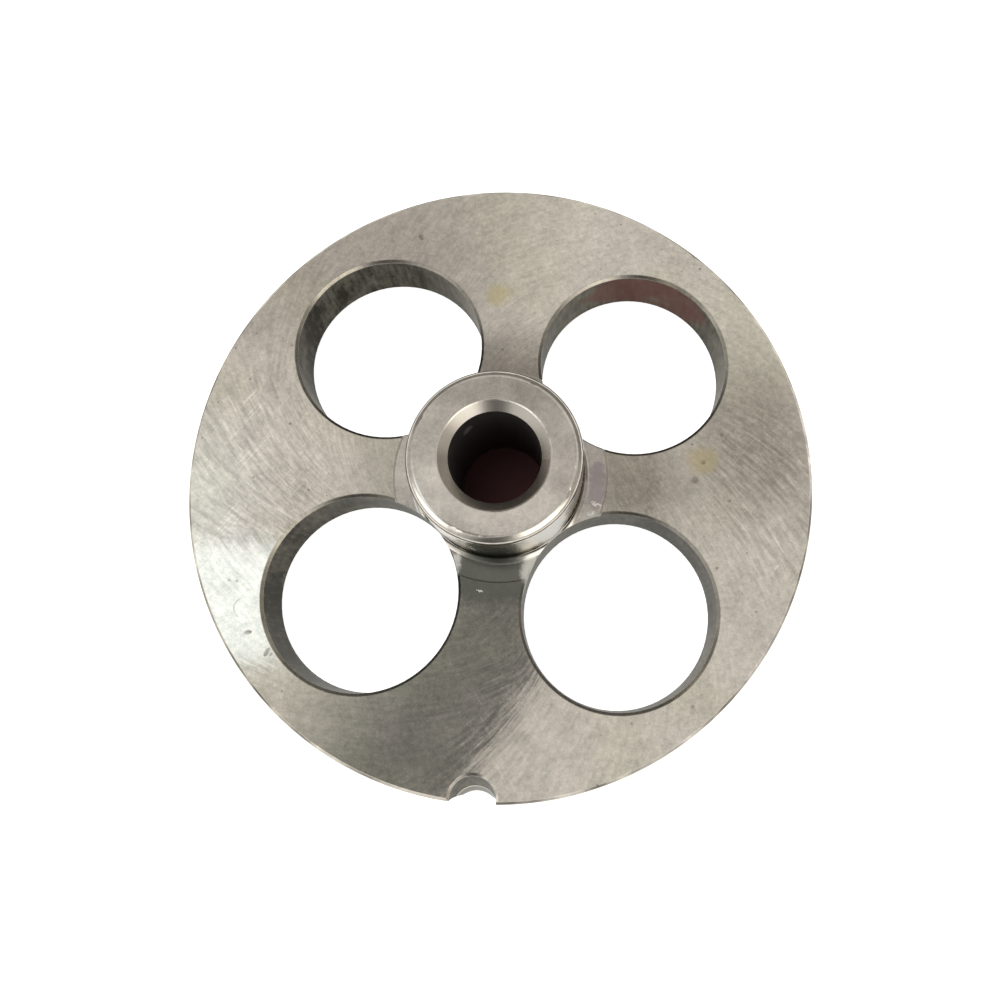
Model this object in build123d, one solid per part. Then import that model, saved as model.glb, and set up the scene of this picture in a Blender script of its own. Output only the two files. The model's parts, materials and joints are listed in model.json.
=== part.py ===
from build123d import *
import os

# A hubbed plate with four large holes for a meat grinder: one steel casting,
# turned and ground. It lies on its flat back face, hub up.
# Frame: millimetres, +Z along the hub, origin at the centre of the back face,
# locating notch on the -Y side.

# --- driving dimensions -------------------------------------------------------

PLATE_DIAMETER = 98.4           # 3 7/8 in, slides into the grinder's barrel
PLATE_THICKNESS = 11.1          # 7/16 in
RIM_CHAMFER = 0.5               # small chamfer on both edges of the rim

HUB_DIAMETER = 26.0
HUB_RISE = 14.3                 # hub face above the plate's front face
HUB_EDGE_RADIUS = 1.3           # rounding round the hub's face
HUB_ROOT_RADIUS = 1.2           # blend from the hub's wall into the seat round it

SEAT_DIAMETER = 34.0            # ring turned round the hub, just below the front face
SEAT_DEPTH = 0.25

BORE_DIAMETER = 13.7            # through hole for the stud of the feed screw
MOUTH_CHAMFER = 1.4             # countersink at the hub end of the bore
MOUTH_EDGE_RADIUS = 0.35        # rounding between that countersink and the hub face
BACK_CHAMFER = 0.6              # countersink at the back end of the bore

HOLE_COUNT = 4
HOLE_DIAMETER = 30.0
HOLE_CIRCLE_DIAMETER = 56.2     # circle through the centres of the holes
HOLE_EDGE_BREAK = 0.4           # small chamfer at both ends of each hole

NOTCH_RADIUS = 3.5              # half-round notch for the key in the barrel
NOTCH_DEPTH = 4.1               # into the rim, measured on the front face
NOTCH_RUNOUT = 0.8              # what is left of that depth on the back face
NOTCH_EDGE_BREAK = 0.35         # small chamfer round the notch's front end

# --- derived sizes ------------------------------------------------------------

plate_radius = PLATE_DIAMETER / 2
hub_radius = HUB_DIAMETER / 2
seat_radius = SEAT_DIAMETER / 2
bore_radius = BORE_DIAMETER / 2
hole_radius = HOLE_DIAMETER / 2
hole_circle_radius = HOLE_CIRCLE_DIAMETER / 2
hub_face_z = PLATE_THICKNESS + HUB_RISE
seat_z = PLATE_THICKNESS - SEAT_DEPTH
notch_angle = -90
first_hole_angle = notch_angle + 180 / HOLE_COUNT      # the notch lies midway between holes

UPWARDS = (Align.CENTER, Align.CENTER, Align.MIN)


def turned_blank():
    """Disc, seat, hub and bore as one turned section, revolved about the hub's axis."""
    rim_back = (plate_radius, 0)
    rim_front = (plate_radius, PLATE_THICKNESS)
    hub_root = (hub_radius, seat_z)
    hub_edge = (hub_radius, hub_face_z)
    mouth_edge = (bore_radius + MOUTH_CHAMFER, hub_face_z)
    rounded_corners = (
        (hub_root, HUB_ROOT_RADIUS),
        (hub_edge, HUB_EDGE_RADIUS),
        (mouth_edge, MOUTH_EDGE_RADIUS),
    )
    with BuildPart() as blank:
        with BuildSketch(Plane.XZ) as section:
            with BuildLine():
                Polyline(
                    (bore_radius + BACK_CHAMFER, 0),
                    rim_back,
                    rim_front,
                    (seat_radius, PLATE_THICKNESS),
                    (seat_radius - SEAT_DEPTH, seat_z),
                    hub_root,
                    hub_edge,
                    mouth_edge,
                    (bore_radius, hub_face_z - MOUTH_CHAMFER),
                    (bore_radius, BACK_CHAMFER),
                    close=True,
                )
            make_face()
            for corner in (rim_back, rim_front):
                chamfer(section.vertices().sort_by_distance(corner)[0], RIM_CHAMFER)
            for corner, radius in rounded_corners:
                fillet(section.vertices().sort_by_distance(corner)[0], radius)
        revolve(axis=Axis.Z)
    return blank.part


def large_holes():
    """Space of the large holes, with a small chamfer at both ends.

    The front chamfers stop where the blend at the hub's root begins.
    """
    chamfer_radius = hole_radius + HOLE_EDGE_BREAK
    hole_places = PolarLocations(hole_circle_radius, HOLE_COUNT, first_hole_angle)
    front_chamfer_z = PLATE_THICKNESS - HOLE_EDGE_BREAK
    with BuildPart(Plane.XY.offset(front_chamfer_z)) as front_chamfers:
        with hole_places:
            Cone(hole_radius, chamfer_radius, HOLE_EDGE_BREAK, align=UPWARDS)
        Cylinder(
            hub_radius + HUB_ROOT_RADIUS,
            HOLE_EDGE_BREAK,
            align=UPWARDS,
            mode=Mode.SUBTRACT,
        )
    with BuildPart() as holes:
        add(front_chamfers.part)
        with hole_places:
            Cylinder(hole_radius, PLATE_THICKNESS + HUB_ROOT_RADIUS, align=UPWARDS)
            Cone(chamfer_radius, hole_radius, HOLE_EDGE_BREAK, align=UPWARDS)
    return holes.part


def locating_notch():
    """Space of the notch: round sections, whose centre moves outwards on the way down."""
    sections = (
        (0, NOTCH_RADIUS),
        (PLATE_THICKNESS - NOTCH_EDGE_BREAK, NOTCH_RADIUS),
        (PLATE_THICKNESS, NOTCH_RADIUS + NOTCH_EDGE_BREAK),
    )
    with BuildPart() as notch:
        for height, radius in sections:
            depth = NOTCH_RUNOUT + (NOTCH_DEPTH - NOTCH_RUNOUT) * height / PLATE_THICKNESS
            centre = plate_radius - depth + NOTCH_RADIUS
            with BuildSketch(Plane.XY.offset(height)):
                with PolarLocations(centre, 1, notch_angle):
                    Circle(radius)
        loft(ruled=True)
    return notch.part


def grinder_plate():
    """The finished plate: the turned blank with its holes and its notch cut out."""
    with BuildPart() as plate:
        add(turned_blank())
        add(large_holes(), mode=Mode.SUBTRACT)
        add(locating_notch(), mode=Mode.SUBTRACT)
    return plate.part


os.makedirs("parts", exist_ok=True)
export_step(grinder_plate(), "parts/grinder_plate.step")
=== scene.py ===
"""Finish and studio of a hubbed meat grinder plate with four large holes.

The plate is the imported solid, in metres, lying on its flat back face with the hub up (+Z) and
the locating notch towards -Y. This file gives it its ground and turned steel, and builds the
floor, the light and the camera round it. Inside the materials all places are in millimetres.
"""
import json
import math

import bpy
import numpy as np
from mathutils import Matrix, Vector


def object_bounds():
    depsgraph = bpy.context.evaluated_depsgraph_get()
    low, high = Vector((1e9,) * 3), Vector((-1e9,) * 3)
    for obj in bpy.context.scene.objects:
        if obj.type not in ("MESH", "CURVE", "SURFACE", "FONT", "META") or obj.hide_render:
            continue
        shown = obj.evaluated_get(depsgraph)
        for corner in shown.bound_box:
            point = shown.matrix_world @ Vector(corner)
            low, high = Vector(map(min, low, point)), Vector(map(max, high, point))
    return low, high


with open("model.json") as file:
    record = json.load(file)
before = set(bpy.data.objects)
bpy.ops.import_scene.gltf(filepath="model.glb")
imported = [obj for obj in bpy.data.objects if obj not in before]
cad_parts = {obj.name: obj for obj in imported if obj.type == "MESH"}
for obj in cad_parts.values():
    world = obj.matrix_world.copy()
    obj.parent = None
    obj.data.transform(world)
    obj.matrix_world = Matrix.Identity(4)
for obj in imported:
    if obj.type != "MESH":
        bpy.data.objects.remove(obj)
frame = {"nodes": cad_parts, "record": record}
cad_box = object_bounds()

bl_info = {
    "name": "Grinder Plate Finish",
    "version": (1, 0, 0),
    "blender": (4, 5, 0),
    "location": "3D View > Sidebar > Grinder Plate",
    "description": "Ground and turned steel for a hubbed meat grinder plate, and a plain studio round it",
    "category": "Material",
}

PLATE = "grinder_plate"
MM = 0.001                      # one millimetre in metres

mounts = {mount["name"]: mount for mount in frame["record"]["mounts"]}
openings = {opening["name"]: opening for opening in frame["record"]["physics"]["openings"]}
hole_box = np.array(openings["hole_back_right"]["box_m"])
plate_top = 2 * mounts["rim"]["pos_m"][2]


# --- sizes and colours that can be changed ---------------------------------------------------

def length(name, description, default):
    """A length property in metres."""
    return bpy.props.FloatProperty(
        name=name, description=description, default=default, min=0.0, unit="LENGTH", precision=5
    )


def share(name, description, default):
    """A property from 0 to 1."""
    return bpy.props.FloatProperty(name=name, description=description, default=default, min=0.0, max=1.0)


def colour(name, description, default):
    """A linear colour property."""
    return bpy.props.FloatVectorProperty(
        name=name, description=description, default=default, size=3, min=0.0, max=1.0, subtype="COLOR"
    )


class PlateSizes(bpy.types.PropertyGroup):
    """Where one machined surface of the plate ends and the next begins."""

    plate_radius: length("Plate radius", "Radius of the rim", float(cad_box[1].x))
    front_face: length("Front face", "Height of the ground front face", plate_top)
    hub_face: length("Hub face", "Height of the hub's turned face", float(cad_box[1].z))
    hub_radius: length("Hub radius", "Radius of the hub's wall", 0.013)
    seat_radius: length("Seat radius", "Radius of the ring turned round the hub", 0.017)
    bore_radius: length("Bore radius", "Radius of the bore", mounts["stud_bore"]["dims"]["r_mm"] * MM)
    mouth_depth: length("Mouth depth", "Depth of the countersink at the hub end of the bore", 0.0014)
    hole_radius: length("Hole radius", "Radius of the four large holes", 0.015)
    hole_offset: length("Hole offset", "Place of a hole's centre on X and Y", float(hole_box[:, 0].mean()))
    edge_break: length("Edge break", "Width of the small chamfers", 0.0005)


class SteelLook(bpy.types.PropertyGroup):
    """Colours, gloss and wear of the steel."""

    steel: colour("Ground steel", "Ground faces and rim", (0.525, 0.49, 0.415))
    rosy_steel: colour("Rosy steel", "Where the ground steel has a rosy cast", (0.53, 0.485, 0.432))
    turned_steel: colour("Turned steel", "Hub face, seat and countersink", (0.49, 0.455, 0.41))
    # Also the colour of the painted glints and of the painted highlight line in the notch.
    worn_steel: colour("Worn steel", "Bright steel of the hub's wall and rubbed places", (0.80, 0.78, 0.73))
    # Dull steel, darkened far below steel's own colour to paint the dark reflections in the hole and notch
    # walls.
    hole_steel: colour("Hole walls", "Dull dark steel in the large holes", (0.045, 0.042, 0.033))
    notch_steel: colour("Notch wall", "Dull dark steel in the notch", (0.045, 0.041, 0.029))
    # Painted reflection: the lighter lower part of the notch wall.
    notch_foot_reflection: colour("Foot of the notch", "Steel below the bright line in the notch", (0.20, 0.20, 0.185))
    grazing_tint: colour("Grazing tint", "Tint of reflections seen along the surface", (0.64, 0.63, 0.60))
    oiled_steel: colour("Bore wall", "Oily dark steel in the bore", (0.16, 0.145, 0.145))
    # Dark oil, also used as painted shade at the foot of the hub on the side towards -Y.
    oil_and_shade: colour("Dark film", "Dark oil round the foot of the hub", (0.115, 0.12, 0.105))
    temper: colour("Temper colour", "Faint purple cast beside the hub", (0.31, 0.265, 0.28))
    stain: colour("Stain", "Dried yellow stains", (0.52, 0.44, 0.22))
    # Painted reflection: a faint red cast that stands for a dark red surface mirrored in a hole wall.
    red_reflection: colour("Rust", "Faint rust on the hole walls", (0.10, 0.034, 0.031))
    grime: colour("Grime", "Dirt in pits and bruises", (0.08, 0.07, 0.055))
    ground_rough: share("Ground roughness", "Roughness of the ground faces", 0.07)
    seat_rough: share("Seat roughness", "Roughness of the ring turned round the hub", 0.10)
    seat_edge_rough: share("Seat edge roughness", "Roughness of the small step round the seat", 0.4)
    hub_wall_rough: share("Hub wall roughness", "Roughness of the hub's wall", 0.18)
    hub_face_rough: share("Hub face roughness", "Roughness of the hub's face", 0.13)
    mouth_rough: share("Mouth roughness", "Roughness of the countersink", 0.22)
    bore_rough: share("Bore roughness", "Roughness of the bore", 0.5)
    wall_rough: share("Hole wall roughness", "Roughness of the hole walls", 0.38)
    notch_rough: share("Notch roughness", "Roughness of the notch", 0.35)
    rim_rough: share("Rim roughness", "Roughness of the rim", 0.28)
    swirl_depth: length("Swirl depth", "Depth of the swirl left by the grinding wheel", 0.0000030)
    ring_depth: length("Ring depth", "Depth of the rings left by turning", 0.0000010)


class StudioLook(bpy.types.PropertyGroup):
    """Floor, light and camera."""

    floor_tone: colour("Floor", "Colour of the floor", (0.80, 0.80, 0.80))
    # Painted shade: the floor under the bore is coloured dark reddish to stand for the shade seen through
    # the bore.
    painted_bore_shade: colour("Floor under the bore", "Floor in the bore's shade", (0.10, 0.045, 0.045))
    floor_lift: share("Floor lift", "Light added to the floor for the camera and in reflections", 0.80)
    tent_tone: colour("Tent", "Light of the plain tent", (0.96, 0.955, 0.93))
    tent_radius: length("Tent radius", "Radius of the tent that the steel mirrors", 2.0)
    lamp_power: bpy.props.FloatProperty(
        name="Lamp power", description="Power of the soft lamp", default=3.2, min=0.0, unit="POWER"
    )
    camera_place: bpy.props.FloatVectorProperty(
        name="Camera place", description="Where the camera stands", size=3, unit="LENGTH",
        default=(0.012585, -0.030491, 0.162630), precision=5,
    )
    camera_turn: bpy.props.FloatVectorProperty(
        name="Camera turn", description="How the camera is turned from straight down", size=3,
        subtype="EULER", default=tuple(math.radians(a) for a in (13.903, 0.193, 4.036)),
    )
    camera_lens: bpy.props.FloatProperty(
        name="Lens", description="Focal length in millimetres", default=35.287, min=1.0
    )
    camera_shift: bpy.props.FloatVectorProperty(
        name="Shift", description="Sideways and upward shift of the picture", size=2,
        default=(-0.06326, -0.06346), precision=5,
    )


# --- node wiring -----------------------------------------------------------------------------

class Wiring:
    """Adds nodes to a tree. A number, a colour or another node's output can feed any socket."""

    def __init__(self, tree):
        self.tree = tree

    def add(self, kind, feeds=(), **settings):
        """A new node with its settings and its inputs, by name or by number."""
        node = self.tree.nodes.new(kind)
        for setting, value in settings.items():
            setattr(node, setting, value)
        for key, value in dict(feeds).items():
            self.feed(node.inputs[key], value)
        return node

    def feed(self, socket, value):
        """Links an output to the socket, or sets the socket's own value."""
        if isinstance(value, bpy.types.NodeSocket):
            self.tree.links.new(value, socket)
        else:
            socket.default_value = value

    def math(self, operation, *values):
        """One step of arithmetic on numbers."""
        return self.add("ShaderNodeMath", enumerate(values), operation=operation).outputs[0]

    def product(self, *values):
        """All the values multiplied together."""
        result = values[0]
        for value in values[1:]:
            result = self.math("MULTIPLY", result, value)
        return result

    def total(self, *values):
        """All the values added together."""
        result = values[0]
        for value in values[1:]:
            result = self.math("ADD", result, value)
        return result

    def inverse(self, mask):
        """1 where the mask is 0."""
        return self.math("SUBTRACT", 1.0, mask)

    def vector(self, operation, *values):
        """One step of arithmetic on vectors."""
        return self.add("ShaderNodeVectorMath", enumerate(values), operation=operation).outputs[0]

    def reach(self, vector):
        """Length of a vector."""
        return self.add("ShaderNodeVectorMath", {0: vector}, operation="LENGTH").outputs["Value"]

    def distance(self, place, other):
        """Distance between two places."""
        node = self.add("ShaderNodeVectorMath", {0: place, 1: other}, operation="DISTANCE")
        return node.outputs["Value"]

    def scaled(self, vector, amount):
        """A vector or colour times a number."""
        node = self.add("ShaderNodeVectorMath", {0: vector, "Scale": amount}, operation="SCALE")
        return node.outputs[0]

    def step(self, value, start, end):
        """Smooth step: 0 at start and before, 1 at end and after. Start may be above end."""
        feeds = {"Value": value, "From Min": start, "From Max": end}
        return self.add("ShaderNodeMapRange", feeds, interpolation_type="SMOOTHSTEP").outputs[0]

    def band(self, value, low, high, soft):
        """1 between low and high, falling to 0 over soft outside them."""
        return self.product(
            self.step(value, low - soft, low + soft), self.step(value, high + soft, high - soft)
        )

    def between(self, part, first, second):
        """A number from first to second."""
        feeds = {"Factor": part, 2: first, 3: second}
        return self.add("ShaderNodeMix", feeds, data_type="FLOAT").outputs[0]

    def blend(self, part, first, second):
        """A colour from first to second."""
        feeds = {"Factor": part, 6: rgba(first), 7: rgba(second)}
        return self.add("ShaderNodeMix", feeds, data_type="RGBA").outputs[2]

    def noise(self, place, scale, detail=2.0, rough=0.5):
        """Smooth noise from 0 to 1, about 0.5."""
        feeds = {"Vector": place, "Scale": scale, "Detail": detail, "Roughness": rough}
        return self.add("ShaderNodeTexNoise", feeds).outputs[0]

    def ripple(self, place, scale, detail=2.0, rough=0.5):
        """Smooth noise from -0.5 to 0.5."""
        return self.math("SUBTRACT", self.noise(place, scale, detail, rough), 0.5)

    def use(self, group, **feeds):
        """A placed node group. Input names have _ for each space."""
        node = self.add("ShaderNodeGroup", node_tree=bpy.data.node_groups[group])
        for name, value in feeds.items():
            self.feed(node.inputs[name.replace("_", " ")], value)
        return node.outputs

    def place_mm(self):
        """Place on the object in millimetres."""
        return self.scaled(self.add("ShaderNodeTexCoord").outputs["Object"], 1 / MM)

    def show(self, shader, output="ShaderNodeOutputMaterial"):
        """Feeds the shader to the tree's output, and sets the nodes out."""
        self.add(output, {"Surface": shader.outputs[0]})
        self.arrange()

    def give(self, values):
        """Ends a group: makes and feeds its outputs by name, and sets the nodes out."""
        for name in values:
            self.tree.interface.new_socket(name, in_out="OUTPUT", socket_type="NodeSocketFloat")
        self.add("NodeGroupOutput", values)
        self.arrange()

    def arrange(self):
        """Sets the nodes out in columns, each to the left of what it feeds."""
        column = {node.name: 0 for node in self.tree.nodes}
        for _ in self.tree.nodes:
            moved = False
            for link in self.tree.links:
                if column[link.from_node.name] <= column[link.to_node.name]:
                    column[link.from_node.name] = column[link.to_node.name] + 1
                    moved = True
            if not moved:
                break
        filled = {}
        for node in self.tree.nodes:
            place = column[node.name]
            filled[place] = filled.get(place, 0) + 1
            node.location = (-220 * place, -260 * filled[place])


def rgba(value):
    """A colour of three numbers with full alpha. Sockets pass through."""
    return value if isinstance(value, bpy.types.NodeSocket) else (*value, 1.0)


def new_material(name):
    """A material without nodes, and the wiring to fill it."""
    material = bpy.data.materials.new(name)
    material.use_nodes = True
    material.node_tree.nodes.clear()
    return material, Wiring(material.node_tree)


def new_group(name, inputs):
    """A shader node group with inputs as name: default. Gives its wiring and what it is given."""
    tree = bpy.data.node_groups.new(name, "ShaderNodeTree")
    for label, default in inputs.items():
        kind = "NodeSocketVector" if isinstance(default, tuple) else "NodeSocketFloat"
        tree.interface.new_socket(label, in_out="INPUT", socket_type=kind).default_value = default
    wires = Wiring(tree)
    return wires, wires.add("NodeGroupInput").outputs


# --- shared effects --------------------------------------------------------------------------

def turned_place(wires, place, angle):
    """Place with X turned to lie along the angle, anticlockwise from +X."""
    feeds = {"Vector": place, "Angle": angle}
    return wires.add(
        "ShaderNodeVectorRotate", feeds, rotation_type="Z_AXIS", invert=True
    ).outputs[0]


ORIGIN = (0.0, 0.0, 0.0)

# Pits, as parts of a cell.
PIT_LEAST = 0.03                # least radius, and how far inside its edge a pit is full
PIT_SPAN = 0.13                 # what chance adds to the radius
PIT_FADE = 0.05                 # how far outside its edge a pit has faded
PIT_PUSH = 0.25                 # how much of Push moves the edge

SCRATCH_FADE = 0.06             # of the noise's height, from no scratch to a full one
WEDGE_NEAR = 1.4                # a sector is full from its start times this
WEDGE_FAR = 0.7                 # to its end times this


def make_pits_group():
    """Small scattered pits.

    Space is cut into random cells of about the given Cell. Only a Share of the cells has a
    pit, at the cell's own point, with a radius from a thirtieth to a sixth of the cell. Push
    moves its edge in and out.
    """
    inputs = {"Place": ORIGIN, "Cell": 1.6, "Share": 0.1, "Push": 0.0}
    wires, given = new_group("Pits", inputs)
    scale = wires.math("DIVIDE", 1.0, given["Cell"])
    cells = wires.add("ShaderNodeTexVoronoi", {"Vector": given["Place"], "Scale": scale}).outputs
    chance = wires.add("ShaderNodeSeparateColor", {0: cells["Color"]}).outputs
    kept = wires.math("LESS_THAN", chance[0], given["Share"])
    radius = wires.math("MULTIPLY_ADD", chance[1], PIT_SPAN, PIT_LEAST)
    reached = wires.total(cells["Distance"], wires.math("MULTIPLY", given["Push"], PIT_PUSH))
    mark = wires.step(
        reached, wires.math("ADD", radius, PIT_FADE), wires.math("SUBTRACT", radius, PIT_LEAST))
    wires.give({"Mask": wires.product(mark, kept)})


def make_scratches_group():
    """Stray hairline scratches that all lie one way.

    The place is turned by Angle and divided by Length along the scratches and by Width across
    them. A scratch is where smooth noise of that stretched place is above Level.
    """
    inputs = {"Place": ORIGIN, "Angle": 0.0, "Length": 8.0, "Width": 0.35, "Level": 0.72}
    wires, given = new_group("Scratches", inputs)
    size = wires.add("ShaderNodeCombineXYZ", {0: given["Length"], 1: given["Width"], 2: given["Length"]})
    place = wires.vector("DIVIDE", turned_place(wires, given["Place"], given["Angle"]), size.outputs[0])
    high = wires.math("ADD", given["Level"], SCRATCH_FADE)
    noise = wires.noise(place, scale=1.0, detail=0.0)
    wires.give({"Mask": wires.step(noise, given["Level"], high)})


def make_swirl_group():
    """Swirl that a rotary surface grinder leaves: fine lines along spirals round the axis.

    A spiral that leans inwards from the circle by Lean keeps the angle plus the logarithm of
    the radius over the tangent of Lean constant. That sum goes round a circle of radius Lines
    in noise space, so the pattern closes on itself, and the radius over Run goes along it.
    """
    inputs = {"Place": ORIGIN, "Lean": 0.6, "Lines": 50.0, "Run": 6.0}
    wires, given = new_group("Grinding Swirl", inputs)
    axes = wires.add("ShaderNodeSeparateXYZ", {0: given["Place"]}).outputs
    radius = wires.reach(wires.vector("MULTIPLY", given["Place"], (1.0, 1.0, 0.0)))
    angle = wires.math("ARCTAN2", axes[1], axes[0])
    outward = wires.math("LOGARITHM", wires.math("MAXIMUM", radius, 0.5), math.e)
    spiral = wires.math("ADD", angle, wires.math("DIVIDE", outward, wires.math("TANGENT", given["Lean"])))
    along = wires.add("ShaderNodeCombineXYZ", {
        0: wires.product(wires.math("COSINE", spiral), given["Lines"]),
        1: wires.product(wires.math("SINE", spiral), given["Lines"]),
        2: wires.math("DIVIDE", radius, given["Run"]),
    }).outputs[0]
    wires.give({"Height": wires.noise(along, scale=1.0, detail=1.0, rough=0.65)})


def make_rings_group():
    """Rings left by turning: noise about 0 of one coordinate only, which is divided by Pitch."""
    wires, given = new_group("Turned Rings", {"Coordinate": 0.0, "Pitch": 0.3})
    lines = wires.math("DIVIDE", given["Coordinate"], given["Pitch"])
    feeds = {"W": lines, "Detail": 1.0, "Roughness": 0.65}
    rings = wires.add("ShaderNodeTexNoise", feeds, noise_dimensions="1D").outputs[0]
    wires.give({"Height": wires.math("SUBTRACT", rings, 0.5)})


def make_spot_group():
    """One soft streak or spot from one end to the other.

    The spot is where the distances to its two ends add up to less than the distance between
    the ends plus twice the Spread. Push, in millimetres, moves its edge in and out, and Soft
    is how gently it fades, as a share of the spread.
    """
    inputs = {
        "Place": ORIGIN, "One End": ORIGIN, "Other End": ORIGIN,
        "Spread": 1.0, "Push": 0.0, "Soft": 0.5,
    }
    wires, given = new_group("Soft Spot", inputs)
    reaches = [wires.distance(given["Place"], given[end]) for end in ("One End", "Other End")]
    reached = wires.total(*reaches, given["Push"])
    between = wires.distance(given["One End"], given["Other End"])
    edge = wires.math("MULTIPLY_ADD", given["Spread"], 2.0, between)
    soft = wires.product(given["Spread"], given["Soft"], 2.0)
    mark = wires.step(reached, wires.math("ADD", edge, soft), wires.math("SUBTRACT", edge, soft))
    wires.give({"Mask": mark})


def make_panel_group():
    """One flat-sided panel with soft edges.

    The place is taken from Centre. The panel is where both coordinates are under Half Size,
    fading over Soft to each side of that edge.
    """
    inputs = {
        "Place": ORIGIN, "Centre": ORIGIN, "Half Size": (0.1, 0.1, 0.1),
        "Soft": (0.02, 0.02, 0.02),
    }
    wires, given = new_group("Soft Panel", inputs)
    reached = wires.vector("ABSOLUTE", wires.vector("SUBTRACT", given["Place"], given["Centre"]))
    past = wires.vector("DIVIDE", wires.vector("SUBTRACT", reached, given["Half Size"]), given["Soft"])
    axes = wires.add("ShaderNodeSeparateXYZ", {0: past}).outputs
    sides = [wires.step(axes[side], 1.0, -1.0) for side in (0, 1)]
    wires.give({"Mask": wires.product(*sides)})


def make_wedge_group():
    """One sector of the tent, seen from the plate.

    Side is the direction as a flat vector of length 1, and Reach is the slope from the
    vertical. The sector is where Side is within Half of Toward, and Reach is from Start to
    End. Soft is how gently its sides fade, as a part of the cosine.
    """
    inputs = {
        "Side": (1.0, 0.0, 0.0), "Reach": 1.0, "Toward": (1.0, 0.0, 0.0), "Half": 0.3,
        "Start": 0.5, "End": 100.0, "Soft": 0.06,
    }
    wires, given = new_group("Soft Wedge", inputs)
    pair = {0: given["Side"], 1: given["Toward"]}
    facing = wires.add("ShaderNodeVectorMath", pair, operation="DOT_PRODUCT")
    edge = wires.math("COSINE", given["Half"])
    start = wires.math("SUBTRACT", edge, given["Soft"])
    sides = wires.step(facing.outputs["Value"], start, wires.math("ADD", edge, given["Soft"]))
    near = wires.step(given["Reach"], given["Start"], wires.product(given["Start"], WEDGE_NEAR))
    far = wires.step(given["Reach"], given["End"], wires.product(given["End"], WEDGE_FAR))
    wires.give({"Mask": wires.product(sides, near, far)})


# Borders between the surfaces, in millimetres.
BORDER = 0.04                   # half the width of a plain border
ROOT = (0.7, 1.1)               # above the front face: the blend at the hub's root
CROWN = (1.2, 0.9)              # below the hub face: the rounding round it
MOUTH_ROUNDING = (0.05, 0.25)   # outside the countersink: the rounding to the hub face
NOTCH_REACH = (44.0, 44.2)      # radius where the notch begins
SEAT_STEP = 0.25                # width of the small step round the seat


def setting_names(settings):
    """Names of the properties that a group of settings holds."""
    return [name for name in settings.bl_rna.properties.keys() if name not in ("rna_type", "name")]


def make_regions_group(sizes):
    """Which machined surface a place lies on, from its radius, its height and the nearest hole.

    The four holes are alike, so the place is folded into one quarter by taking the absolute
    value of X and Y, and its distance from that quarter's hole is measured.
    """
    wires, given = new_group("Plate Regions", {"Place": ORIGIN})
    mm = {name: getattr(sizes, name) / MM for name in setting_names(sizes)}
    flat = wires.vector("MULTIPLY", given["Place"], (1.0, 1.0, 0.0))
    radius = wires.reach(flat)
    height = wires.add("ShaderNodeSeparateXYZ", {0: given["Place"]}).outputs[2]
    hole_centre = (mm["hole_offset"], mm["hole_offset"], 0.0)
    hole = wires.reach(wires.vector("SUBTRACT", wires.vector("ABSOLUTE", flat), hole_centre))

    top = mm["front_face"]
    edge = mm["edge_break"]
    seat = mm["seat_radius"]
    rim = mm["plate_radius"]
    mouth_foot = mm["hub_face"] - mm["mouth_depth"]
    mouth_rim = mm["bore_radius"] + mm["mouth_depth"]
    root_low, root_high = [top + rise for rise in ROOT]
    crown_low, crown_high = [mm["hub_face"] - drop for drop in CROWN]
    rounding_near, rounding_far = [mouth_rim + width for width in MOUTH_ROUNDING]
    below_top = wires.step(height, top - edge + BORDER, top - edge - BORDER)
    off_hub = wires.step(radius, mm["hub_radius"] - 4 * BORDER, mm["hub_radius"] - 2 * BORDER)

    wires.give({
        "Radius": radius,
        "Height": height,
        "Front": wires.product(
            wires.step(height, top - edge, top - BORDER),
            wires.step(radius, seat - BORDER, seat + BORDER),
        ),
        "Seat": wires.product(
            off_hub, wires.step(radius, seat + BORDER, seat - BORDER),
            wires.step(height, top - 2 * edge, top - edge), wires.step(height, root_high, root_low),
        ),
        "Hub Wall": wires.product(
            off_hub, wires.step(height, root_low, root_high), wires.step(height, crown_high, crown_low),
        ),
        "Hub Face": wires.product(
            wires.step(height, crown_low, crown_high), wires.step(radius, rounding_near, rounding_far),
        ),
        "Mouth": wires.product(
            wires.step(height, mouth_foot - BORDER, mouth_foot + BORDER),
            wires.step(radius, rounding_far, rounding_near),
        ),
        "Bore": wires.product(
            wires.step(radius, mm["bore_radius"] + 2 * BORDER, mm["bore_radius"] + BORDER),
            wires.step(height, mouth_foot + BORDER, mouth_foot - BORDER),
        ),
        "Hole Wall": wires.product(
            wires.step(hole, mm["hole_radius"] + 3 * BORDER, mm["hole_radius"] + BORDER), below_top,
        ),
        "Notch": wires.product(
            below_top, wires.step(radius, *NOTCH_REACH),
            wires.step(radius, rim - BORDER, rim - 3 * BORDER),
            wires.step(height, edge + BORDER, edge + 2 * BORDER),
        ),
        "Rim": wires.step(radius, rim - 3 * BORDER, rim - BORDER),
        "Hole Edge": wires.step(
            hole, mm["hole_radius"] + edge + BORDER, mm["hole_radius"] + edge - 3 * BORDER),
        "Rim Edge": wires.step(radius, rim - edge - BORDER, rim - edge + 3 * BORDER),
        "Seat Edge": wires.product(
            wires.band(radius, seat - SEAT_STEP, seat, BORDER),
            wires.step(height, top - 2 * edge, top - edge),
        ),
    })


# --- the steel -------------------------------------------------------------------------------

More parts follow.
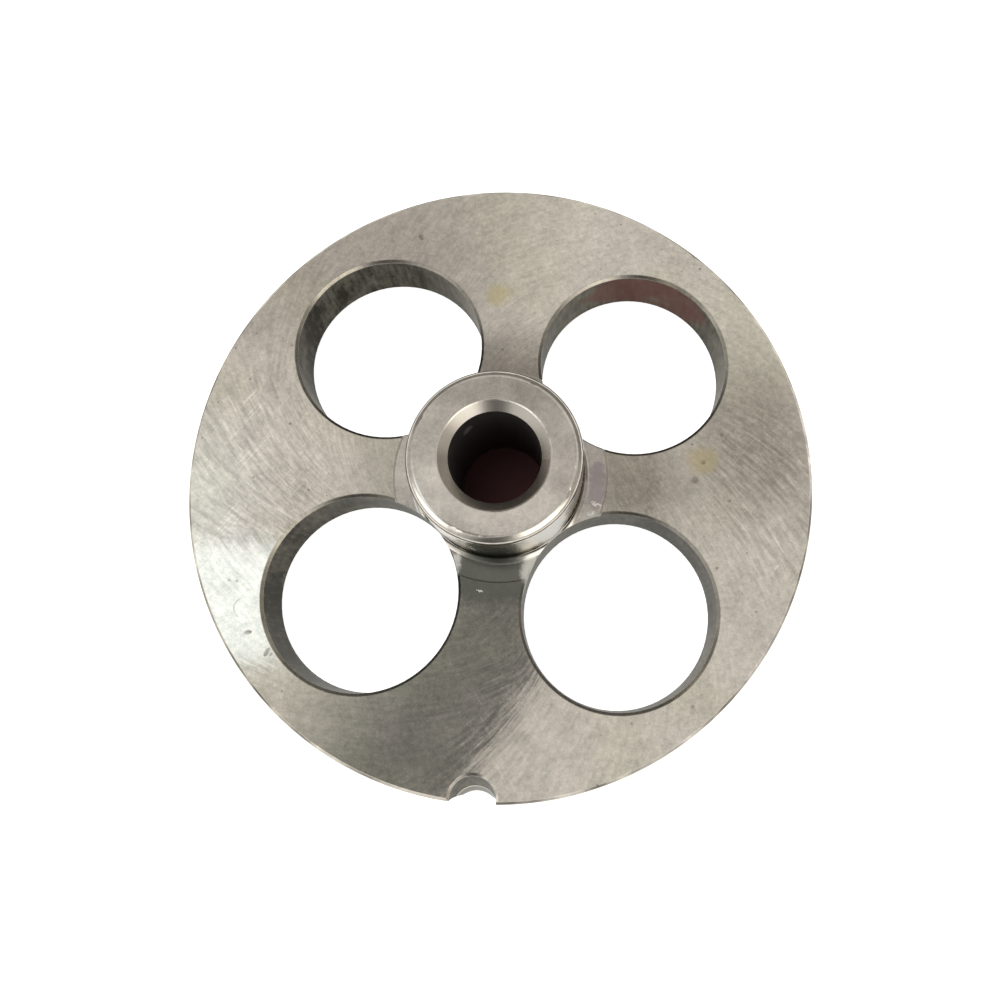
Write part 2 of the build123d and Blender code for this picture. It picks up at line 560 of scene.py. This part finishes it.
class Layers:
    """Colour, roughness and share of bare metal, with further finishes laid over the first."""

    def __init__(self, wires, tone, rough, metal):
        self.wires = wires
        self.tone = tone
        self.rough = rough
        self.metal = metal

    def cover(self, where, tone, rough=None, metal=None, strength=1.0):
        """Lays a finish over those so far, in the given strength, where the mask is 1."""
        if strength < 1.0:
            where = self.wires.product(where, strength)
        self.tone = self.wires.blend(where, self.tone, tone)
        if rough is not None:
            self.rough = self.wires.between(where, self.rough, rough)
        if metal is not None:
            self.metal = self.wires.between(where, self.metal, metal)

    def shade(self, where, strength=1.0):
        """Makes the colour lighter by the mask times the strength. Below 0 it gets darker."""
        factor = self.wires.math("MULTIPLY_ADD", where, strength, 1.0)
        self.tone = self.wires.scaled(self.tone, factor)


def strongest(wires, masks):
    """The highest of several masks."""
    highest = masks[0]
    for mask in masks[1:]:
        highest = wires.math("MAXIMUM", highest, mask)
    return highest


def ground_swirl(wires, place):
    """Height of the grinding swirl about 0, in two directions that take turns over the face."""
    steep, shallow = [
        wires.use("Grinding Swirl", Place=place, Lean=math.radians(lean), Lines=lines, Run=run)["Height"]
        for lean, lines, run in SWIRLS
    ]
    turn = wires.step(wires.noise(place, scale=0.06, detail=0.0), start=0.44, end=0.56)
    return wires.math("SUBTRACT", wires.between(turn, steep, shallow), 0.5)


def stray_scratches(wires, place):
    """Hairline scratches in several directions."""
    return strongest(wires, [
        wires.use(
            "Scratches", Place=place, Angle=math.radians(turn), Length=long, Width=wide, Level=level
        )["Mask"]
        for turn, long, wide, level in SCRATCHES
    ])


def curved_nick(wires, place, centre, bend, wide):
    """Half a ring, the side towards -X: where the distance from the centre is near the bend."""
    offset = wires.vector("SUBTRACT", place, centre)
    distance = wires.reach(offset)
    side = wires.add("ShaderNodeSeparateXYZ", {0: offset}).outputs[0]
    ring = wires.band(distance, bend - wide, bend + wide, soft=wide)
    return wires.product(ring, wires.step(side, start=-0.4, end=-0.9))


# Swirls of the grinding wheel: lean in degrees, lines round the plate, run in millimetres.
SWIRLS = (
    (25, 30.0, 2.2),
    (46, 52.0, 3.0),
)
SWIRL_FORCE = (0.42, 1.07)      # of the swirl, on plain and on scoured steel
SWIRL_ROUGH = 0.12              # what the swirl adds to the roughness
MOTTLE_ROUGH = 0.08             # what the mottle adds to it

# Stray scratches: turn in degrees, length and width in millimetres, level of the noise.
SCRATCHES = (
    (-58, 8.0, 0.26, 0.74),
    (-30, 10.0, 0.24, 0.76),
    (54, 7.0, 0.26, 0.75),
)
SCRATCH_FORCE = (0.05, 0.21)    # of the scratches, on plain and on scoured steel

COOL_CAST = (0.985, 1.0, 0.995)     # of the mottle, where it is low
WARM_CAST = (1.01, 0.997, 0.99)     # and where it is high
RING_SHADE = 0.5                # of the turned rings
RIM_EDGE_SHADE = (1.5, -0.45)   # of the rim's edge: by the patches, and all round
OIL_AND_SHADE_TOP = (0.9, 1.6)           # below the hub face: where the oil and painted shade end
STREAK_STRETCH = (1.6, 1.6, 0.25)
STREAK_SHADE = 2.8              # of the cutter's streaks on the walls
WALL_SHADE_PAINT = -0.5                # of the painted shade on the walls
DARKEST_WALL = -0.8             # the most that all marks together may take off
BRUISE_DIRT = 0.7               # share of dirt in a bruise
DIRT_COVER = (2.0, 0.55)        # of all dirt: by the mottle, and everywhere

# Spots on the steel, in millimetres: one end, the other end, spread.
SCOURED = (
    ((39.0, 10.0, 11.1), (44.0, -10.0, 11.1), 3.0),
    ((-36.0, 12.0, 11.1), (-41.0, -12.0, 11.1), 6.0),
    ((7.5, -29.0, 11.1), (-1.5, -46.0, 11.1), 1.6),
)
STAINS = (
    ((30.2, 4.2, 11.1), (32.6, 5.0, 11.1), 1.2),
    ((-3.2, 29.0, 11.1), (-2.0, 31.0, 11.1), 0.9),
)
SPECKS = (
    ((30.4, 1.2, 11.1), (30.8, 1.2, 11.1), 0.35),
    ((31.8, 4.1, 11.1), (31.9, 4.3, 11.1), 0.25),
    ((-17.0, 39.9, 11.1), (-16.6, 39.2, 11.1), 0.16),
)
BRUISES = (
    ((-36.7, -27.1, 11.1), (-35.7, -26.9, 11.1), 0.1),
    ((-32.6, -29.1, 11.1), (-33.2, -30.3, 11.1), 0.08),
    ((-32.4, -30.2, 11.1), (-32.1, -29.8, 11.1), 0.08),
    ((-40.3, -19.4, 11.1), (-40.2, -19.4, 11.1), 0.16),
    ((-39.1, -19.5, 11.1), (-39.0, -19.4, 11.1), 0.14),
)
GOUGE = (-37.4, -23.4, 11.1)
# Dark oil with painted shade at the foot of the hub, on the seat and up the hub's wall towards -Y.
OIL_AND_SHADE_SPOTS = (
    ((-4.5, -15.8, 11.0), (4.5, -15.8, 11.0), 2.0),
    ((0.0, -13.0, 12.0), (0.0, -13.0, 22.6), 1.0),
)
TEMPERED = (((15.3, 3.0, 11.0), (15.3, -4.2, 11.0), 0.3),)
# Painted glints at the hole edges beside the seat and on the seat, a painted window highlight in the bore,
# and a worn scratch on the hub's wall.
WORN_AND_GLINTS = (
    ((-5.6, -13.0, 11.0), (-6.3, -16.5, 11.0), 0.2),
    ((6.0, -12.5, 11.0), (5.6, -16.5, 11.0), 0.4),
    ((-2.8, -13.0, 15.0), (-2.8, -13.0, 21.0), 0.02),
    ((14.4, -3.2, 11.0), (16.3, -4.0, 11.0), 0.03),
    ((14.0, -5.4, 11.0), (15.3, -5.0, 11.0), 0.06),
    ((-2.2, -18.1, 11.0), (-1.0, -18.5, 11.0), 0.01),
    ((-5.2, 4.8, 18.4), (-4.9, 5.2, 20.4), 0.3),
)
# Where the painted red reflection lies, on the back right hole's wall.
RED_REFLECTED = (((14.0, 34.0, 6.0), (30.0, 31.0, 6.0), 2.5),)
# Painted shade on the hole walls that face away from the light.
SHADED_WALLS = (
    ((-33.5, 27.0, 5.0), (-33.5, 12.0, 5.0), 2.0),
    ((-34.0, -18.0, 5.0), (-26.0, -33.0, 5.0), 2.0),
    ((24.0, -6.0, 5.0), (31.0, -10.0, 5.0), 3.0),
)
# Painted light on the hole walls that face towards the light.
LIT_WALLS = (
    ((-6.0, 24.0, 7.0), (-10.0, 31.0, 7.0), 2.0),
    ((6.0, -14.0, 3.0), (9.0, -10.0, 8.0), 3.0),
    ((34.0, 25.0, 5.0), (34.5, 15.0, 5.0), 3.0),
    ((6.0, 27.0, 5.0), (13.0, 33.0, 5.0), 3.0),
    ((34.0, -24.0, 5.0), (31.0, -31.0, 5.0), 3.0),
)

# Surfaces inside the rim that the grinding wheel doesn't reach.
MACHINED = ("Seat", "Hub Wall", "Hub Face", "Mouth", "Bore", "Hole Wall", "Notch")


class SteelFinish(Layers):
    """The plate's steel: the ground faces first, then the other surfaces, then wear and dirt."""

    def __init__(self, wires, sizes, look):
        self.sizes = sizes
        self.look = look
        self.place = wires.place_mm()
        self.region = wires.use("Plate Regions", Place=self.place)
        machined = wires.total(*[self.region[name] for name in MACHINED])
        self.ground = wires.inverse(wires.math("MINIMUM", 1.0, machined))
        self.patches = wires.ripple(self.place, scale=0.22, detail=1.0)
        self.mottle = wires.ripple(self.place, scale=1.3, detail=2.0, rough=0.8)
        self.swirl = ground_swirl(wires, self.place)
        self.rings = wires.use("Turned Rings", Coordinate=self.region["Radius"], Pitch=0.22)["Height"]
        clouds = wires.step(wires.noise(self.place, scale=0.07, detail=0.0), start=0.35, end=0.65)
        tone = wires.blend(clouds, look.steel, look.rosy_steel)
        super().__init__(wires, tone, look.ground_rough, 1.0)

    def uneven(self, patches=0.0, mottle=0.0):
        """So much of the broad patches and so much of the fine mottle, added together."""
        shares = ((self.patches, patches), (self.mottle, mottle))
        return self.wires.total(*[self.wires.product(noise, share) for noise, share in shares if share])

    def spots(self, listed, push=0.0, soft=0.5):
        """Several soft spots as one mask, each listed as its two ends and its spread."""
        return strongest(self.wires, [
            self.wires.use(
                "Soft Spot", Place=self.place, One_End=one_end, Other_End=other_end,
                Spread=spread, Push=push, Soft=soft,
            )["Mask"]
            for one_end, other_end, spread in listed
        ])

    def ground_faces(self):
        """Mottled steel, darker near the hub, with swirl and scratches that scouring brings out."""
        wires = self.wires
        self.shade(self.uneven(patches=0.35, mottle=0.75))
        blush = wires.step(self.mottle, start=-0.15, end=0.15)
        self.tone = wires.vector("MULTIPLY", self.tone, wires.blend(blush, COOL_CAST, WARM_CAST))
        scoured = self.spots(SCOURED, push=self.uneven(patches=9.0), soft=0.9)
        force = wires.product(self.swirl, wires.between(scoured, *SWIRL_FORCE))
        self.shade(force, strength=0.8)
        self.rough = wires.total(
            self.rough, wires.product(force, SWIRL_ROUGH), wires.product(self.mottle, MOTTLE_ROUGH))
        scratches = wires.product(self.ground, stray_scratches(wires, self.place))
        self.shade(scratches, strength=wires.between(scoured, *SCRATCH_FORCE))
        near_hub = wires.step(self.region["Radius"], start=27.0, end=18.0)
        self.shade(wires.product(self.ground, near_hub), strength=-0.25)

    def machined_faces(self):
        """The surfaces that the grinding wheel doesn't reach, with the marks of turning."""
        wires = self.wires
        look = self.look
        region = self.region
        self.cover(region["Seat"], look.turned_steel, look.seat_rough)
        self.cover(region["Hub Wall"], look.worn_steel, look.hub_wall_rough)
        self.cover(region["Hub Face"], look.turned_steel, look.hub_face_rough)
        self.cover(region["Mouth"], look.turned_steel, look.mouth_rough)
        self.cover(region["Bore"], look.oiled_steel, look.bore_rough)
        self.cover(region["Hole Wall"], look.hole_steel, look.wall_rough)
        self.cover(region["Notch"], look.notch_steel, look.notch_rough)
        self.cover(region["Rim"], look.steel, look.rim_rough)
        turned = wires.total(region["Seat"], region["Hub Face"])
        marks = wires.total(wires.product(self.rings, RING_SHADE), self.uneven(patches=0.8, mottle=0.6))
        self.shade(marks, strength=turned)
        self.shade(region["Seat"], strength=-0.16)

    def edges(self):
        """The step round the seat, the broken edges of the holes, and painted shade on the rim's edge."""
        wires = self.wires
        region = self.region
        self.cover(
            region["Seat Edge"], self.look.steel, self.look.seat_edge_rough, metal=0.4, strength=0.9)
        broken = wires.product(region["Hole Edge"], self.ground)
        self.cover(broken, self.look.hole_steel, rough=0.35, strength=0.5)
        # Painted shade on the rim's edge, lighter and darker in places with the patches.
        rim_edge = wires.product(region["Rim Edge"], wires.inverse(region["Rim"]))
        self.shade(rim_edge, strength=wires.math("MULTIPLY_ADD", self.patches, *RIM_EDGE_SHADE))

    def oil_wear_and_painted_light(self):
        """Dark oil and painted shade at the foot of the hub, temper colour beside it, and worn spots with
        painted glints.
        """
        wires = self.wires
        high, low = [self.sizes.hub_face / MM - drop for drop in OIL_AND_SHADE_TOP]
        # Painted shade and dark oil at the foot of the hub.
        oil_and_shade = wires.product(
            self.spots(OIL_AND_SHADE_SPOTS, push=self.uneven(patches=4.0, mottle=2.5), soft=0.6),
            wires.step(self.region["Height"], start=high, end=low),
        )
        self.cover(oil_and_shade, self.look.oil_and_shade, rough=0.2, strength=0.85)
        fine = self.uneven(mottle=1.2)
        self.cover(self.spots(TEMPERED, push=fine, soft=0.8), self.look.temper, strength=0.7)
        # Painted glints and highlights, with a worn scratch.
        worn_and_glints = self.spots(WORN_AND_GLINTS, push=fine, soft=0.9)
        self.cover(worn_and_glints, self.look.worn_steel, rough=0.45, strength=0.65)

    def walls(self):
        """Cutter's streaks, painted shade and light on the hole walls, a painted red reflection, and a
        painted reflection and highlight in the notch.
        """
        wires = self.wires
        region = self.region
        stretched = wires.vector("MULTIPLY", self.place, STREAK_STRETCH)
        streaks = wires.ripple(stretched, scale=1.0, detail=1.0, rough=0.6)
        broad = self.uneven(patches=12.0)
        marks = wires.total(
            wires.product(streaks, STREAK_SHADE), self.uneven(patches=3.0, mottle=2.0),
            # Painted shade and painted light on the walls by the way they face.
            wires.product(self.spots(SHADED_WALLS, push=broad), WALL_SHADE_PAINT),
            self.spots(LIT_WALLS, push=broad),
        )
        wall_marks_and_shade = wires.product(marks, wires.total(region["Hole Wall"], region["Notch"]))
        self.shade(wires.math("MAXIMUM", wall_marks_and_shade, DARKEST_WALL))
        # Painted reflection and highlight in the notch: lighter below, with a bright line across.
        foot = wires.product(region["Notch"], wires.step(region["Height"], start=4.2, end=3.4))
        self.cover(foot, self.look.notch_foot_reflection, rough=0.3)
        line = wires.product(region["Notch"], wires.band(region["Height"], low=3.5, high=3.9, soft=0.2))
        self.cover(line, self.look.worn_steel, rough=0.3)
        # Painted red reflection on a hole wall.
        red_reflected = wires.product(self.spots(RED_REFLECTED, push=broad), region["Hole Wall"])
        self.cover(red_reflected, self.look.red_reflection, strength=0.7)

    def stains_and_dirt(self):
        """Dried stains, dark specks, and dirt in pits and bruises."""
        wires = self.wires
        stains = self.spots(STAINS, push=self.uneven(patches=6.4, mottle=4.0), soft=0.95)
        stained = wires.product(self.region["Front"], stains)
        self.cover(stained, self.look.stain, rough=0.2, metal=0.9, strength=0.6)
        specks = self.spots(SPECKS, push=self.uneven(mottle=1.2), soft=0.8)
        pits = wires.use("Pits", Place=self.place, Cell=1.5, Share=0.15, Push=self.mottle)["Mask"]
        gouge = curved_nick(wires, self.place, GOUGE, bend=1.5, wide=0.08)
        bruises = strongest(wires, [self.spots(BRUISES, soft=0.9), gouge])
        hollows = strongest(wires, [pits, wires.product(bruises, BRUISE_DIRT)])
        dirty = strongest(wires, [wires.product(hollows, self.ground), specks])
        dirty = wires.product(dirty, wires.math("MULTIPLY_ADD", self.mottle, *DIRT_COVER))
        self.cover(dirty, self.look.grime, rough=0.3)

    def relief(self):
        """Normal of the relief: the swirl outside the seat, turned rings from the seat inwards."""
        wires = self.wires
        seat = self.sizes.seat_radius / MM
        outside = wires.step(self.region["Radius"], start=seat - 0.1, end=seat + 0.1)
        rings = wires.product(self.rings, self.look.ring_depth / MM)
        swirl = wires.product(self.swirl, self.look.swirl_depth / MM)
        feeds = {"Height": wires.between(outside, rings, swirl), "Distance": MM, "Strength": 1.0}
        return wires.add("ShaderNodeBump", feeds).outputs[0]


def steel_material(sizes, look):
    """Ground, turned and worn steel, with a different finish on each machined surface."""
    material, wires = new_material("Ground Turned Steel")
    steel = SteelFinish(wires, sizes, look)
    steel.ground_faces()
    steel.machined_faces()
    steel.edges()
    steel.oil_wear_and_painted_light()
    steel.walls()
    steel.stains_and_dirt()
    wires.show(wires.add("ShaderNodeBsdfPrincipled", {
        "Base Color": steel.tone, "Roughness": steel.rough, "Metallic": steel.metal,
        "Specular Tint": rgba(look.grazing_tint), "Normal": steel.relief(),
    }))
    return material


# --- the studio ------------------------------------------------------------------------------

# Lengths in metres, if not said otherwise.
FLOOR_REACH = 3.0               # from the middle to each side of the floor
FLOOR_DROP = 0.00003            # how far the floor lies under the plate
FLOOR_LINES = 41
FLOOR_GRAIN = (0.04, 0.98)      # span and least part of the floor's tone
BORE_SHADE = (7.0, 11.0)        # radius in millimetres over which the painted dark shade under the bore turns to the pale floor
TENT_RISES = (0.4, 89.9)        # elevation of the tent's foot and top, in degrees
TENT_COLUMNS, TENT_ROWS = 96, 48
SKY_LIGHT = 0.65                # strength of the white surround as light
LAMP_SIZE = 0.6
LAMP_PLACE = (-0.25, 0.2, 0.9)
LAMP_TURN = (-12, -15, 0)       # degrees from straight down
SENSOR_WIDTH = 36.0             # millimetres
CLIP_START = 0.01

# Panels of the tent, as slopes from the vertical: centre, half size, softness, turn, light.
TENT_PANELS = (
    ((0.2, 0.26), (0.08, 0.08), (0.07, 0.07), 0.0, (0.56, 0.545, 0.51)),
    ((-0.27, 0.45), (0.16, 0.10), (0.09, 0.08), 0.0, (0.66, 0.64, 0.62)),
    ((-0.085, 0.31), (0.10, 0.045), (0.05, 0.04), 0.0, (0.50, 0.48, 0.45)),
    ((0.02, 0.20), (0.07, 0.05), (0.05, 0.05), 0.0, (0.72, 0.70, 0.67)),
    ((0.08, 0.20), (0.03, 0.04), (0.04, 0.03), 0.0, (0.48, 0.455, 0.42)),
    ((-0.05, 0.15), (0.06, 0.035), (0.04, 0.03), 0.0, (1.25, 1.22, 1.18)),
    ((-0.46, 0.14), (0.10, 0.08), (0.06, 0.08), 0.0, (1.25, 1.3, 1.35)),
    ((-0.40, 0.035), (0.10, 0.064), (0.04, 0.008), 5.0, (1.80, 1.97, 2.16)),
    ((-0.18, -0.09), (0.20, 0.07), (0.05, 0.07), 58.5, (0.35, 0.355, 0.35)),
    ((-0.12, -0.085), (0.19, 0.045), (0.05, 0.008), 58.5, (0.305, 0.310, 0.302)),
)

# Sectors of the tent near the floor: direction, half width, slopes from and to, light.
TENT_WEDGES = (
    (85.0, 82.0, 0.80, 400.0, (0.36, 0.35, 0.33)),
    (180.0, 25.0, 0.70, 400.0, (0.85, 0.84, 0.80)),
    (350.0, 22.0, 0.50, 400.0, (0.70, 0.67, 0.62)),
    (213.0, 21.0, 0.40, 3.2, (2.6, 2.6, 2.6)),
    (243.0, 10.0, 0.30, 400.0, (0.95, 0.95, 0.92)),
    (317.0, 24.0, 0.22, 3.6, (3.1, 3.0, 2.75)),
    (268.0, 16.0, 0.20, 400.0, (0.13, 0.13, 0.12)),
)


def surface(name, points, closed=True):
    """A mesh over a grid of points, rows by columns by three. Closed joins the last column on."""
    rows, columns, _ = points.shape
    index = np.arange(rows * columns).reshape(rows, columns)
    right = np.roll(index, -1, axis=1)
    if not closed:
        index, right = index[:, :-1], right[:, :-1]
    faces = np.stack([index[:-1], right[:-1], right[1:], index[1:]], axis=-1).reshape(-1, 4)
    mesh = bpy.data.meshes.new(name)
    mesh.from_pydata(points.reshape(-1, 3).tolist(), [], faces.tolist())
    mesh.update()
    made = bpy.data.objects.new(name, mesh)
    bpy.context.scene.collection.objects.link(made)
    return made


def floor_surface():
    """Flat floor: a square grid whose spacing grows with the cube of the distance from the middle."""
    lines = FLOOR_REACH * np.linspace(-1, 1, FLOOR_LINES)**3
    across, along = np.meshgrid(lines, lines)
    drop = np.full_like(across, -FLOOR_DROP)
    return surface("floor", np.stack([across, along, drop], axis=-1), closed=False)


def tent_surface(radius):
    """Half sphere over the plate: the radius times the cosine of the elevation across, its sine up."""
    angles = np.linspace(0, 2 * np.pi, TENT_COLUMNS, endpoint=False)
    rises = np.radians(np.linspace(*TENT_RISES, TENT_ROWS))
    level = radius * np.cos(rises)
    across = np.outer(level, np.cos(angles))
    along = np.outer(level, np.sin(angles))
    up = np.outer(radius * np.sin(rises), np.ones_like(angles))
    return surface("light_tent", np.stack([across, along, up], axis=-1))


def shown_white(wires):
    """1 for the camera and for what steel or glass shows, 0 for light on the plate."""
    seen = wires.add("ShaderNodeLightPath").outputs
    mirrored = wires.math("MAXIMUM", seen["Is Glossy Ray"], seen["Is Transmission Ray"])
    return wires.math("MAXIMUM", seen["Is Camera Ray"], mirrored)


def floor_material(look):
    """Pale floor that keeps the plate's shadow, lifted to white for the camera and in reflections, with
    painted dark reddish shade under the bore.
    """
    material, wires = new_material("Pale Floor")
    material.cycles.emission_sampling = "NONE"
    place = wires.place_mm()
    grain = wires.noise(place, scale=0.3, detail=0.0)
    tone = wires.scaled(tuple(look.floor_tone), wires.math("MULTIPLY_ADD", grain, *FLOOR_GRAIN))
    open_floor = wires.step(wires.reach(place), *BORE_SHADE)
    lift = wires.product(shown_white(wires), open_floor, look.floor_lift)
    wires.show(wires.add("ShaderNodeBsdfPrincipled", {
        # Under the bore the floor takes the painted dark shade colour.
        "Base Color": wires.blend(open_floor, look.painted_bore_shade, tone),
        "Roughness": 0.9, "Specular IOR Level": 0.0,
        "Emission Color": (1.0, 1.0, 1.0, 1.0), "Emission Strength": lift,
    }))
    return material


def tent_material(look):
    """Soft room light for the steel to mirror: panels brighter or darker than the plain tent."""
    material, wires = new_material("Light Tent")
    material.cycles.emission_sampling = "NONE"
    place = wires.add("ShaderNodeTexCoord").outputs["Object"]
    axes = wires.add("ShaderNodeSeparateXYZ", {0: place}).outputs
    slope = wires.add("ShaderNodeCombineXYZ", {
        0: wires.math("DIVIDE", axes[0], axes[2]), 1: wires.math("DIVIDE", axes[1], axes[2]),
    }).outputs[0]
    tone = look.tent_tone
    for centre, half, soft, turn, light in TENT_PANELS:
        angle = math.radians(turn)
        seen = turned_place(wires, slope, angle) if turn else slope
        along = centre[0] * math.cos(angle) + centre[1] * math.sin(angle)
        across = centre[1] * math.cos(angle) - centre[0] * math.sin(angle)
        mask = wires.use(
            "Soft Panel", Place=seen, Centre=(along, across, 0.0), Half_Size=(*half, 1.0),
            Soft=(*soft, 1.0),
        )["Mask"]
        tone = wires.blend(mask, tone, light)
    reach = wires.reach(slope)
    side = wires.vector("NORMALIZE", slope)
    for toward, half, start, end, light in TENT_WEDGES:
        angle = math.radians(toward)
        mask = wires.use(
            "Soft Wedge", Side=side, Reach=reach, Toward=(math.cos(angle), math.sin(angle), 0.0),
            Half=math.radians(half), Start=start, End=end,
        )["Mask"]
        tone = wires.blend(mask, tone, light)
    wires.show(wires.add("ShaderNodeEmission", {"Color": tone, "Strength": 1.0}))
    return material


def add_world():
    """White behind everything for the camera and in reflections, softer as light."""
    world = bpy.data.worlds.new("White Surround")
    bpy.context.scene.world = world
    world.cycles.sampling_method = "NONE"
    world.use_nodes = True
    world.node_tree.nodes.clear()
    wires = Wiring(world.node_tree)
    strength = wires.between(shown_white(wires), SKY_LIGHT, 1.0)
    sky = wires.add("ShaderNodeBackground", {"Color": (1.0, 1.0, 1.0, 1.0), "Strength": strength})
    wires.show(sky, output="ShaderNodeOutputWorld")


def add_lamp(look):
    """One large soft lamp overhead, for the floor's shadow."""
    lamp = bpy.data.lights.new("soft_lamp", "AREA")
    lamp.shape = "DISK"
    lamp.size = LAMP_SIZE
    lamp.energy = look.lamp_power
    holder = bpy.data.objects.new("soft_lamp", lamp)
    holder.location = LAMP_PLACE
    holder.rotation_euler = [math.radians(angle) for angle in LAMP_TURN]
    holder.visible_glossy = False
    bpy.context.scene.collection.objects.link(holder)


def add_camera(look):
    """The camera above the plate, a little towards the notch."""
    camera = bpy.data.cameras.new("camera")
    camera.lens = look.camera_lens
    camera.sensor_width = SENSOR_WIDTH
    camera.shift_x, camera.shift_y = look.camera_shift
    camera.clip_start = CLIP_START
    holder = bpy.data.objects.new("camera", camera)
    holder.location = look.camera_place
    holder.rotation_euler = look.camera_turn
    bpy.context.scene.collection.objects.link(holder)
    bpy.context.scene.camera = holder


# --- operators and panel ---------------------------------------------------------------------

class GRINDERPLATE_OT_finish_steel(bpy.types.Operator):
    """Give the plate its ground and turned steel"""

    bl_idname = "grinder_plate.finish_steel"
    bl_label = "Finish Steel"

    def execute(self, context):
        scene = context.scene
        make_pits_group()
        make_scratches_group()
        make_swirl_group()
        make_rings_group()
        make_spot_group()
        make_regions_group(scene.plate_sizes)
        material = steel_material(scene.plate_sizes, scene.steel_look)
        plate = frame["nodes"][PLATE]
        if not plate.material_slots:
            raise RuntimeError(f"{PLATE} has no material slot to finish")
        plate.material_slots[0].material = material
        return {"FINISHED"}


class GRINDERPLATE_OT_build_stage(bpy.types.Operator):
    """Build the floor, the light and the camera"""

    bl_idname = "grinder_plate.build_stage"
    bl_label = "Build Stage"

    def execute(self, context):
        look = context.scene.studio_look
        make_panel_group()
        make_wedge_group()
        floor_surface().data.materials.append(floor_material(look))
        tent = tent_surface(look.tent_radius)
        tent.data.materials.append(tent_material(look))
        tent.visible_camera = False
        tent.visible_diffuse = False
        tent.visible_shadow = False
        add_world()
        add_lamp(look)
        add_camera(look)
        context.scene.view_settings.view_transform = "Standard"
        return {"FINISHED"}


class GRINDERPLATE_PT_sidebar(bpy.types.Panel):
    """Buttons and settings of the plate in the 3D view's sidebar"""

    bl_label = "Grinder Plate"
    bl_space_type = "VIEW_3D"
    bl_region_type = "UI"
    bl_category = "Grinder Plate"

    def draw(self, context):
        column = self.layout.column()
        for operator in (GRINDERPLATE_OT_finish_steel, GRINDERPLATE_OT_build_stage):
            column.operator(operator.bl_idname)
        for settings in (context.scene.plate_sizes, context.scene.steel_look, context.scene.studio_look):
            box = self.layout.box()
            for name in setting_names(settings):
                box.prop(settings, name)


CLASSES = (
    PlateSizes, SteelLook, StudioLook,
    GRINDERPLATE_OT_finish_steel, GRINDERPLATE_OT_build_stage, GRINDERPLATE_PT_sidebar,
)


def register():
    """Registers the classes and hangs the settings on the scene."""
    for cls in CLASSES:
        bpy.utils.register_class(cls)
    bpy.types.Scene.plate_sizes = bpy.props.PointerProperty(type=PlateSizes)
    bpy.types.Scene.steel_look = bpy.props.PointerProperty(type=SteelLook)
    bpy.types.Scene.studio_look = bpy.props.PointerProperty(type=StudioLook)


def unregister():
    """Takes the settings off the scene and unregisters the classes."""
    del bpy.types.Scene.studio_look
    del bpy.types.Scene.steel_look
    del bpy.types.Scene.plate_sizes
    for cls in reversed(CLASSES):
        bpy.utils.unregister_class(cls)


def main():
    """Runs each operator in turn."""
    register()
    bpy.ops.grinder_plate.finish_steel()
    bpy.ops.grinder_plate.build_stage()


if __name__ == "__main__":
    main()
